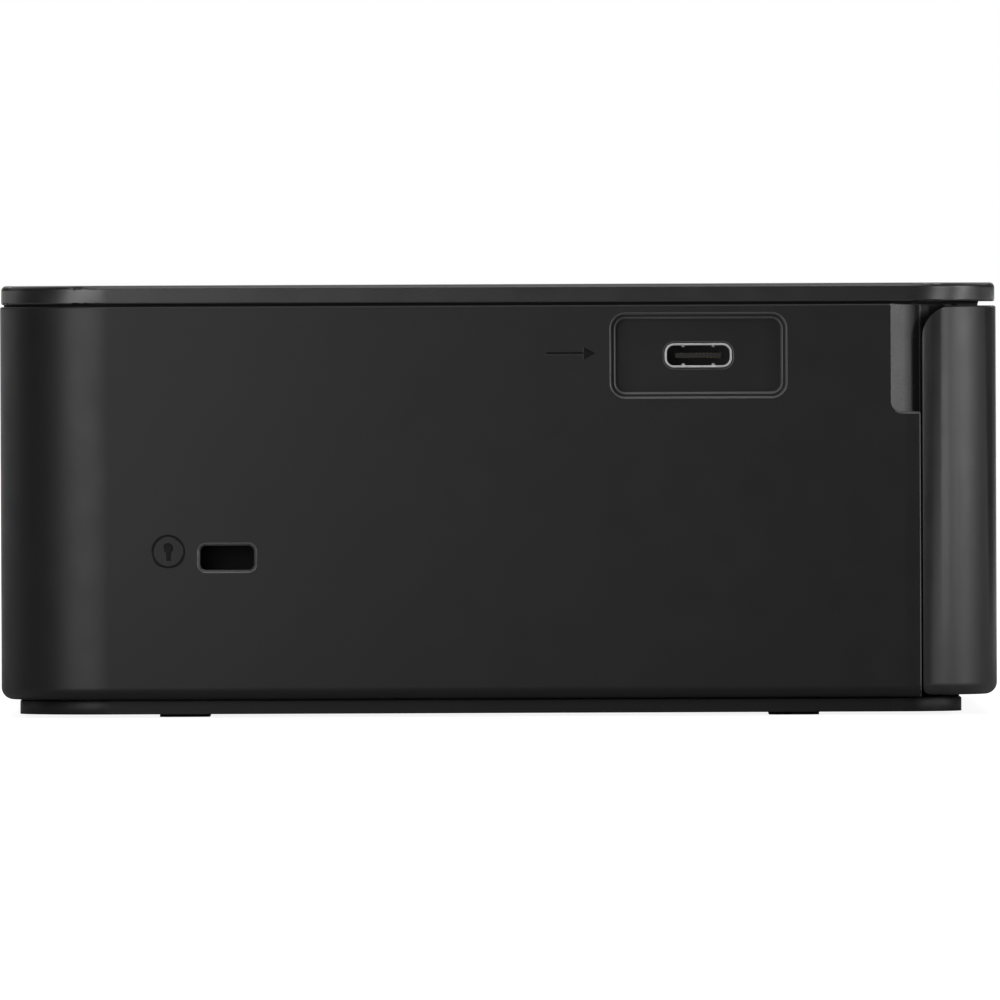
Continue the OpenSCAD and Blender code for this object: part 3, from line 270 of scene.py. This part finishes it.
def rubber(name, shade, rough=0.75, depth=6e-6):
    """Rubber: dull, with a coarser skin and a faint bloom."""
    n = Surface(name)
    dark, light = RUBBER_SHADES
    n.tint(n.noise(RUBBER_BLOOM, detail=4), grey(shade * dark), grey(shade * light))
    n.roughness(n.noise(RUBBER_GLOSS, detail=2), rough - RUBBER_SPREAD, rough + RUBBER_SPREAD)
    n.bump(n.noise(RUBBER_SKIN, detail=3), depth)
    n.set(IOR=1.5)
    return n.material


METAL_LINES = 1200           # per metre
METAL_DARK = 0.86            # share of the colour in the dark lines
METAL_SPREAD = (-0.06, 0.08)


def metal(name, colour, rough, streak=(1, 1, 1), depth=1.5e-6, shine=1.0):
    """Bare metal. streak stretches the fine lines that rolling or turning leaves."""
    n = Surface(name)
    lines = n.noise(METAL_LINES, detail=4, where=n.stretched(streak))
    n.tint(lines, [part * METAL_DARK for part in colour], colour)
    n.roughness(lines, rough + METAL_SPREAD[0], rough + METAL_SPREAD[1])
    n.bump(lines, depth)
    n.set(Metallic=shine)
    return n.material


BOARD_PATTERN = {
    "Scale": 240, "Mortar Size": 0.03, "Color1": (0.006, 0.075, 0.035, 1),
    "Color2": (0.008, 0.095, 0.045, 1), "Mortar": (0.02, 0.17, 0.08, 1),
}


def circuit_board(name, depth=1e-5):
    """Green solder mask over copper tracks."""
    n = Surface(name)
    tracks = n.add("ShaderNodeTexBrick")
    for key, value in BOARD_PATTERN.items():
        tracks.inputs[key].default_value = value
    n.link(n.place, tracks.inputs["Vector"])
    n.feed("Base Color", tracks.outputs["Color"])
    n.bump(tracks.outputs["Fac"], depth)
    n.set(Roughness=0.3, Coat_Weight=0.3)
    return n.material


GLASS_TINTS = ((0.004, 0.004, 0.005), (0.006, 0.006, 0.007))
GLASS_ROUGH = (0.03, 0.06)


def screen_glass(name):
    """Smoked glass over a dark display."""
    n = Surface(name)
    n.tint(n.noise(60), *GLASS_TINTS)
    n.roughness(n.noise(500), *GLASS_ROUGH)
    n.set(IOR=1.52, Coat_Weight=0.5, Coat_Roughness=0.02)
    return n.material


FINISHES = {
    "cover_black": moulded("cover_plastic", 0.007, 0.33, gloss=1.0),
    "body_black": moulded("body_plastic", 0.007, 0.42, marks=side_marks),
    "door_black": moulded("door_plastic", 0.008, 0.39, gloss=0.85),
    "base_black": moulded("base_plastic", 0.009, 0.45, gloss=0.35),
    "key_black": moulded("key_plastic", 0.02, 0.36, grain=0.25 * MM),
    "inner_plastic": moulded("inner_plastic", 0.04, 0.5),
    "port_black": moulded("port_plastic", 0.012, 0.45),
    "chip_black": moulded("chip_plastic", 0.015, 0.5),
    "screen": screen_glass("screen_glass"),
    "foot_rubber": rubber("foot_rubber", 0.02),
    "roller_rubber": rubber("roller_rubber", 0.03),
    "steel": metal("plated_steel", (0.5, 0.51, 0.52), 0.35, (1, 0.05, 1)),
    "pin_steel": metal("ground_steel", (0.7, 0.7, 0.71), 0.2, (1, 0.1, 1)),
    "port_metal": metal("port_metal", (0.7, 0.7, 0.71), 0.42, (0.1, 1, 1), shine=0.6),
    "alloy": metal("extruded_alloy", (0.6, 0.6, 0.62), 0.32, (0.02, 1, 1)),
    "brass": metal("brass", (0.72, 0.53, 0.25), 0.28),
    "nylon": moulded("nylon", 0.6, 0.45, depth=4e-6, spread=0.03),
    "board": circuit_board("board_lacquer"),
    "ceramic_strip": moulded("ceramic", 0.35, 0.3, spread=0.05),
}
# Far lighter than the body plastic: a painted highlight along the body's rounded edges
EDGE_PAINTED_HIGHLIGHT = moulded("edge_plastic", 0.09, 0.34, gloss=0.8)
# Lighter and glossier than the body plastic: a painted highlight on the finger pocket ramps, with a
# painted shadow toward the door
POCKET_PAINTED_SHEEN_AND_SHADOW = moulded("pocket_plastic", 0.013, 0.27, gloss=1.0, painted_shade=pocket_painted_shadow)
# Near-black and dull: a painted shadow on faces that stand in the open lines between parts
GAP_PAINTED_SHADOW = moulded("gap_plastic", 0.003, 0.7, gloss=0.15)
BLACKENED = metal("blackened_steel", (0.012, 0.012, 0.013), 0.5)
PRINT_FINISH = moulded("button_print", 0.42, 0.5, depth=0.5e-6, spread=0.04)
GOLD_FINISH = metal("contact_gold", (0.75, 0.55, 0.22), 0.25)
PANEL_FINISH = screen_glass("display_window")

EDGE_INDEX = 1               # the painted highlight of the rounded edges, in the list of the body's finishes
POCKET_LEAN = (-0.55, -0.35)  # how far the ramp of a finger pocket faces the front
UPRIGHT = 0.05               # a face that leans less than this from upright
STEEP = 0.5                  # a face that leans less than this counts as a side
RIM_ABOVE = 0.2 * MM
LIP_BELOW = 0.1 * MM


def paint(name, finish, chosen):
    """Gives the chosen faces of a node a finish of their own."""
    mesh = NODES[name].data
    mesh.materials.append(finish)
    for face in mesh.polygons:
        if chosen(face):
            face.material_index = len(mesh.materials) - 1


def dress_cad_nodes():
    """Gives every CAD node the finish of its slot in the record, then paints highlight and shadow on
    some faces of the body, cover and base.
    """
    for part in frame["record"]["subparts"]:
        mesh = NODES[part["node"]].data
        mesh.materials.clear()
        mesh.materials.append(FINISHES[part["material_slot"]])
    NODES["lock_plate"].data.materials[0] = BLACKENED
    NODES["body_shell"].data.materials.append(EDGE_PAINTED_HIGHLIGHT)
    least, most = POCKET_LEAN
    # The finger pocket ramps get the painted highlight and shadow
    paint("body_shell", POCKET_PAINTED_SHEEN_AND_SHADOW,
          lambda face: abs(face.normal.z) < UPRIGHT and least < face.normal.y < most)
    # The rim of the cover and the lip of the base stand in the open lines; their shadow there is
    # painted with a near-black dull finish
    line_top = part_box("body_shell")[1].z + RIM_ABOVE
    paint("top_cover", GAP_PAINTED_SHADOW,
          lambda face: face.center.z < line_top and abs(face.normal.z) < STEEP)
    line_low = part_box("body_shell")[0].z - LIP_BELOW
    paint("base_plate", GAP_PAINTED_SHADOW,
          lambda face: face.center.z > line_low and abs(face.normal.z) < STEEP)


# ---- edges ----

# Pieces whose rounded edges get the painted highlight
HIGHLIGHT_PAINTED_EDGES = ("body_shell",)
FULL_EDGES = ("body_shell", "usb_shell")  # rounded to the full width, at edges picked by weight
MADE_ROUND = ("top_cover",)  # rounded in the CAD model
EVEN_SHADING = ("body_shell",)
SHARP_FROM = math.radians(20)
ROUND_FROM = math.radians(35)
SAME_POINT = 1e-6
SAME_PLANE = math.radians(0.5)
# Spots in mm, and how far round each one the edges stay sharp, because the faces there are narrow
KEPT_SHARP = [((90.5, 47.6, 54.8), 4.5), ((91.1, -52.4, 41.4), 0.8), ((-91.1, -52.4, 41.4), 0.8)]
EDGE_MM = {
    "body_shell": 0.14, "front_door": 0.18, "base_plate": 0.15, "ink_cover": 0.15,
    "front_frame": 0.15, "usb_shell": 0.08, "usb_tongue": 0.06, "feet": 0.2,
}
OTHER_EDGE_MM = 0.1


class MeshGroup(Tree):
    """Node group for a mesh, with a test for edges that turn by more than an angle."""

    def __init__(self, name, least):
        super().__init__(bpy.data.node_groups.new(name, "GeometryNodeTree"))
        for way in ("INPUT", "OUTPUT"):
            self.tree.interface.new_socket("Geometry", in_out=way, socket_type="NodeSocketGeometry")
        self.shape = self.add("NodeGroupInput").outputs[0]
        angle = self.add("GeometryNodeInputMeshEdgeAngle")
        self.steep = self.above(angle.outputs["Unsigned Angle"], least)

    def above(self, source, least):
        """True where a value is greater than least."""
        node = self.add("FunctionNodeCompare", operation="GREATER_THAN")
        node.inputs[1].default_value = least
        self.link(source, node.inputs[0])
        return node.outputs["Result"]

    def close(self, shape):
        """Ends the group with a shape."""
        self.link(shape, self.add("NodeGroupOutput").inputs[0])
        return self.tree


def edge_weights():
    """Node group that picks the edges to round: the steep ones, but not near KEPT_SHARP."""
    group = MeshGroup("edge_weights", ROUND_FROM)
    weight = group.steep
    place = group.add("GeometryNodeInputPosition").outputs[0]
    for spot, radius in KEPT_SHARP:
        away = group.add("ShaderNodeVectorMath", operation="DISTANCE")
        away.inputs[1].default_value = [value * MM for value in spot]
        group.link(place, away.inputs[0])
        both = group.add("FunctionNodeBooleanMath", operation="AND")
        group.link(weight, both.inputs[0])
        group.link(group.above(away.outputs["Value"], radius * MM), both.inputs[1])
        weight = both.outputs[0]
    store = group.add("GeometryNodeStoreNamedAttribute", domain="EDGE", data_type="FLOAT")
    store.inputs["Name"].default_value = "bevel_weight_edge"
    group.link(group.shape, store.inputs["Geometry"])
    group.link(weight, store.inputs["Value"])
    return group.close(store.outputs["Geometry"])


def sharp_by_angle():
    """Node group that shades a mesh smooth and leaves the steep edges sharp."""
    group = MeshGroup("sharp_by_angle", SHARP_FROM)
    shape = group.shape
    for domain, smooth in (("FACE", True), ("EDGE", False)):
        shade = group.add("GeometryNodeSetShadeSmooth", domain=domain)
        shade.inputs["Shade Smooth"].default_value = smooth
        group.link(shape, shade.inputs["Geometry"])
        shape = shade.outputs["Geometry"]
    group.link(group.steep, shade.inputs["Selection"])
    return group.close(shape)


def even_shading(piece, sharp):
    """Lets large faces keep their own direction, so that an arc runs smoothly into a flat side."""
    piece.modifiers.new("sharp_edges", "NODES").node_group = sharp
    even = piece.modifiers.new("even_normals", "WEIGHTED_NORMAL")
    even.mode = "FACE_AREA"
    even.keep_sharp = True


def soften_edges():
    """Small rounding on every sharp edge, as a mould leaves it."""
    sharp = sharp_by_angle()
    weights = edge_weights()
    for name, piece in NODES.items():
        weld = piece.modifiers.new("weld", "WELD")
        weld.merge_threshold = SAME_POINT
        if name in FULL_EDGES:
            flats = piece.modifiers.new("whole_faces", "DECIMATE")
            flats.decimate_type = "DISSOLVE"
            flats.angle_limit = SAME_PLANE
            piece.modifiers.new("edge_weights", "NODES").node_group = weights
        if name in MADE_ROUND:
            even_shading(piece, sharp)
            continue
        bevel = piece.modifiers.new("soft_edge", "BEVEL")
        bevel.width = EDGE_MM.get(name, OTHER_EDGE_MM) * MM
        bevel.segments = 2
        bevel.limit_method = "WEIGHT" if name in FULL_EDGES else "ANGLE"
        bevel.angle_limit = ROUND_FROM
        bevel.use_clamp_overlap = name not in FULL_EDGES
        bevel.harden_normals = True
        # The rounded edges of these pieces take the painted highlight
        if name in HIGHLIGHT_PAINTED_EDGES:
            bevel.material = EDGE_INDEX
        if name in EVEN_SHADING:
            even_shading(piece, sharp)


# ---- small pieces ----

def add_piece(name, body, mesh, finish):
    bmesh.ops.recalc_face_normals(mesh, faces=mesh.faces)
    data = bpy.data.meshes.new(name)
    mesh.to_mesh(data)
    mesh.free()
    data.materials.append(finish)
    piece = bpy.data.objects.new(name, data)
    bpy.context.scene.collection.objects.link(piece)
    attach(piece, body)
    return piece


def flat_piece(name, body, outlines, z0, z1, finish, at=(0.0, 0.0)):
    """A thin inlay made of closed outlines in mm round a point, each raised from z0 to z1."""
    mesh = bmesh.new()
    for outline in outlines:
        places = [((at[0] + x) * MM, (at[1] + y) * MM) for x, y in outline]
        low, high = [[mesh.verts.new((*place, z)) for place in places] for z in (z0, z1)]
        mesh.faces.new(list(reversed(low)))
        mesh.faces.new(high)
        count = len(outline)
        for i in range(count):
            j = (i + 1) % count
            mesh.faces.new((low[i], low[j], high[j], high[i]))
    return add_piece(name, body, mesh, finish)


def arc(radius, start, end, steps=24):
    turns = [math.radians(start + (end - start) * i / steps) for i in range(steps + 1)]
    return [(radius * math.cos(turn), radius * math.sin(turn)) for turn in turns]


def band(radius, width, start, end):
    """Outline of a bent stroke."""
    return arc(radius + width / 2, start, end) + arc(radius - width / 2, end, start)


def block(x0, y0, x1, y1):
    return [(x0, y0), (x1, y0), (x1, y1), (x0, y1)]


TRIANGLE_BACK = 0.7          # how far the back of a triangle is from its middle, in its size


def triangle(turn, size=1.5):
    """Triangle that points along a turn in degrees, 0 along +X."""
    c, s = math.cos(math.radians(turn)), math.sin(math.radians(turn))
    back = -size * TRIANGLE_BACK
    return [(c * x - s * y, s * x + c * y) for x, y in ((size, 0), (back, size), (back, -size))]


STROKE = 0.35
HALF = STROKE / 2
# Outlines in mm from the middle of a button
KEY_SIGNS = {
    "power": [band(1.5, STROKE, 120, 420), block(-HALF, 0.5, HALF, 2.2)],
    "menu": [block(-1.5, y - HALF, 1.5, y + HALF) for y in (-1.1, 0, 1.1)],
    "edit": [block(-1.6, -1.3, -0.9, -0.95), block(-1.6, -0.95, -1.25, -0.4),
             block(0.9, 0.95, 1.6, 1.3), block(1.25, 0.4, 1.6, 0.95), block(-0.7, -0.6, 0.7, 0.6)],
    "back": [triangle(180, 1.3), block(1.1, -1.3, 1.1 + STROKE, 1.3)],
    "print": [block(-1.7, -0.9, 1.7, 0.5), block(-1.1, 0.7, 1.1, 1.6),
              block(-1.1, -1.8, 1.1, -1.1)],
    "confirm": [band(2.2, STROKE, 0, 179.9), band(2.2, STROKE, 180, 359.9)],
    "up": [triangle(90)],
    "down": [triangle(-90)],
    "left": [triangle(180)],
    "right": [triangle(0)],
}
INK_T = 0.03 * MM


def print_key_signs():
    """Generic printed signs on the buttons."""
    for key, outlines in KEY_SIGNS.items():
        node = key + "_button"
        low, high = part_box(node)
        middle = (low + high) / 2 / MM
        flat_piece(key + "_sign", node, outlines, high.z - INK_T / 2, high.z + INK_T, PRINT_FINISH,
                   (middle.x, middle.y))


WINDOW_EDGE = 4.0            # mm


def make_display_window():
    """The lit area of the display, under the smoked glass."""
    low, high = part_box("screen_glass")
    x0, y0 = low.x / MM + WINDOW_EDGE, low.y / MM + WINDOW_EDGE
    x1, y1 = high.x / MM - WINDOW_EDGE, high.y / MM - WINDOW_EDGE
    flat_piece("display_window", "root", [block(x0, y0, x1, y1)], high.z - INK_T / 2,
               high.z + INK_T / 2, PANEL_FINISH)


CONTACTS = 12                # on each face of the tongue
CONTACT_PITCH = 0.5 * MM
CONTACT_FROM = 0.3 * MM      # from the end of the tongue
CONTACT_TO = 3.2 * MM
CONTACT_OFF = 0.31 * MM      # from the middle of the tongue
CONTACT_HALF = (0.12 * MM, 0.02 * MM)
SPRING_R = 0.28 * MM
SPRING_IN = 0.5 * MM
SPRING_ACROSS = 2.0 * MM
SPRING_OFF = 0.3 * MM        # from the outside of the shell


def make_port_contacts():
    """Contact strips on the tongue, and two spring dimples in the floor and roof of the shell."""
    low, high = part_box("usb_tongue")
    middle_y = (low.y + high.y) / 2
    shell_low, shell_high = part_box("usb_shell")
    middle_z = (shell_low.z + shell_high.z) / 2
    half_y, half_z = CONTACT_HALF
    mesh = bmesh.new()
    for i in range(CONTACTS):
        y = middle_y + (i - (CONTACTS - 1) / 2) * CONTACT_PITCH
        for side in (-1, 1):
            z = middle_z + side * CONTACT_OFF
            box_into(mesh, (low.x + CONTACT_FROM, y - half_y, z - half_z),
                     (low.x + CONTACT_TO, y + half_y, z + half_z))
    add_piece("port_contacts", "root", mesh, GOLD_FINISH)
    mesh = bmesh.new()
    for side in (-1, 1):
        for z in (shell_low.z + SPRING_OFF, shell_high.z - SPRING_OFF):
            spot = Matrix.Translation((low.x + SPRING_IN, middle_y + side * SPRING_ACROSS, z))
            bmesh.ops.create_icosphere(mesh, subdivisions=3, radius=SPRING_R, matrix=spot)
    add_piece("port_springs", "root", mesh, FINISHES["port_metal"])


def box_into(mesh, low, high):
    size = Vector(high) - Vector(low)
    place = Matrix.Translation((Vector(low) + Vector(high)) / 2) @ Matrix.Diagonal((*size, 1.0))
    bmesh.ops.create_cube(mesh, size=1.0, matrix=place)


# ---- stage and light ----

WHITE = (1, 1, 1, 1)
AMBIENT = 0.015
CEILING = 0.45
CEILING_UP = (0.38, 0.85)    # Z of a ray's direction where the ceiling starts and where it is full
CEILING_ACROSS = (-0.2, 0.3)  # X of it: the ceiling lies on the far side of the object
BACKDROP_FROM = (0.93, 1.0)  # X of it where a reflection starts to see the backdrop


def ray_share(tree, beyond):
    """1 for rays from the camera, and what beyond says for rays from gloss or glass."""
    path = tree.add("ShaderNodeLightPath").outputs
    total = path["Is Camera Ray"]
    for kind in ("Is Glossy Ray", "Is Transmission Ray"):
        total = tree.math("ADD", total, tree.math("MULTIPLY", path[kind], beyond), clamp=True)
    return total


def make_world():
    """White backdrop beyond the object, a dim room on the side of the photographer."""
    world = bpy.data.worlds.new("studio")
    world.use_nodes = True
    world.node_tree.nodes.clear()
    tree = Tree(world.node_tree)
    ray = tree.split(tree.add("ShaderNodeTexCoord").outputs["Generated"])
    overhead = tree.math("MULTIPLY", tree.ramp(ray["Z"], *CEILING_UP),
                         tree.ramp(ray["X"], *CEILING_ACROSS))
    room, backdrop = (tree.add("ShaderNodeBackground") for _ in range(2))
    for side in (room, backdrop):
        side.inputs["Color"].default_value = WHITE
    tree.link(tree.ramp(overhead, 0.0, 1.0, AMBIENT, CEILING), room.inputs["Strength"])
    backdrop.inputs["Strength"].default_value = 1.0
    mix = tree.add("ShaderNodeMixShader")
    tree.link(ray_share(tree, tree.ramp(ray["X"], *BACKDROP_FROM)), mix.inputs["Fac"])
    tree.link(room.outputs[0], mix.inputs[1])
    tree.link(backdrop.outputs[0], mix.inputs[2])
    tree.link(mix.outputs[0], tree.add("ShaderNodeOutputWorld").inputs["Surface"])
    bpy.context.scene.world = world


FLOOR_SIZE = 12.0
FLOOR_Z = -0.05 * MM
FLOOR_SHADE = 0.4
FLOOR_GLOW = (0.9, 1.0)      # near the object, where its shadow lies, and far from it
FLOOR_NEAR = (0.25, 0.6)     # the glow grows between these distances
FLOOR_FAR = (0.2, 0.6)       # between these X the floor turns white, as reflections see it


def make_floor():
    """Pale floor under the feet."""
    bpy.ops.mesh.primitive_plane_add(size=FLOOR_SIZE, location=(0, 0, FLOOR_Z))
    floor = bpy.context.object
    floor.name = "floor"
    material = bpy.data.materials.new("pale_floor")
    material.use_nodes = True
    material.node_tree.nodes.clear()
    tree = Tree(material.node_tree)
    place = tree.add("ShaderNodeTexCoord").outputs["Object"]
    away = tree.add("ShaderNodeVectorMath", operation="LENGTH")
    tree.link(place, away.inputs[0])
    level = tree.ramp(away.outputs["Value"], *FLOOR_NEAR, *FLOOR_GLOW)
    share = ray_share(tree, tree.ramp(tree.split(place)["X"], *FLOOR_FAR))
    glow = tree.add("ShaderNodeEmission")
    tree.link(tree.math("MULTIPLY", share, level), glow.inputs["Strength"])
    diffuse = tree.add("ShaderNodeBsdfDiffuse")
    diffuse.inputs["Color"].default_value = (*grey(FLOOR_SHADE), 1)
    both = tree.add("ShaderNodeAddShader")
    tree.link(diffuse.outputs[0], both.inputs[0])
    tree.link(glow.outputs[0], both.inputs[1])
    tree.link(both.outputs[0], tree.add("ShaderNodeOutputMaterial").inputs["Surface"])
    floor.data.materials.append(material)


# Softboxes: name, degrees round from the left side to the rear, degrees up, distance, size, power
SOFTBOXES = [
    ("key_box", 32, 8, 0.4, (0.3, 0.35), 0.95),
    ("fill_box", -50, 8, 1.0, (0.22, 0.6), 2.0),
    ("front_box", -80, 8, 1.0, (0.22, 0.6), 2.1),
    ("corner_box", -95, 8, 1.0, (0.22, 0.6), 0.6),
    ("rear_box", 120, 8, 1.0, (0.22, 0.6), 0.17),
    ("high_box", 0, 58, 0.8, (0.6, 0.2), 0.9),
    ("top_box", 0, 80, 1.25, (1.0, 1.0), 4.0),
    ("right_box", 180, 35, 1.3, (0.8, 0.8), 3.0),
    ("back_box", 145, 35, 1.3, (0.8, 0.8), 0.8),
    ("far_front_box", -145, 35, 1.3, (0.8, 0.8), 0.8),
]


def make_lights():
    """Every softbox faces the middle of the left side."""
    middle = Vector((SIDE_X, 0, (LOW.z + HIGH.z) / 2))
    for name, azimuth, rise, distance, size, power in SOFTBOXES:
        turn, tilt = math.radians(azimuth), math.radians(rise)
        level = math.cos(tilt)
        away = Vector((-math.cos(turn) * level, math.sin(turn) * level, math.sin(tilt)))
        lamp = bpy.data.lights.new(name, "AREA")
        lamp.shape = "RECTANGLE"
        lamp.size, lamp.size_y = size
        lamp.energy = power
        holder = bpy.data.objects.new(name, lamp)
        holder.location = middle + away * distance
        holder.rotation_euler = (-away).to_track_quat("-Z", "Y").to_euler()
        bpy.context.scene.collection.objects.link(holder)


# ---- camera ----

FRAME_MM = 133.12            # the width of the picture at the side face
LENS_MM = 1000.0
SENSOR_MM = 36.0
EYE_Z = 54.8 * MM            # level with the open line under the top cover
AIM_Y = -0.21 * MM
AIM_Z = 28.85 * MM
ROLL_DEG = 0.23
SEES_TO = 100


def make_camera():
    """Straight look at the left side from far away, as in the photograph."""
    lens = bpy.data.cameras.new("camera")
    lens.lens = LENS_MM
    lens.sensor_width = SENSOR_MM
    lens.clip_end = SEES_TO
    distance = FRAME_MM * LENS_MM / SENSOR_MM * MM
    eye = Vector((SIDE_X - distance, AIM_Y, EYE_Z))
    aim = Vector((SIDE_X, AIM_Y, AIM_Z))
    camera = bpy.data.objects.new("camera", lens)
    ahead = (aim - eye).normalized()
    right = Vector((0, -1, 0))
    up = right.cross(ahead)
    turn = math.radians(ROLL_DEG)
    tilted_right = right * math.cos(turn) - up * math.sin(turn)
    tilted_up = up * math.cos(turn) + right * math.sin(turn)
    rows = Matrix((tilted_right, tilted_up, -ahead)).transposed()
    camera.matrix_world = Matrix.Translation(eye) @ rows.to_4x4()
    bpy.context.scene.collection.objects.link(camera)
    bpy.context.scene.camera = camera


make_camera()
make_world()
make_floor()
make_lights()
dress_cad_nodes()
soften_edges()
print_key_signs()
make_display_window()
make_port_contacts()

bpy.context.scene.view_settings.view_transform = "Standard"
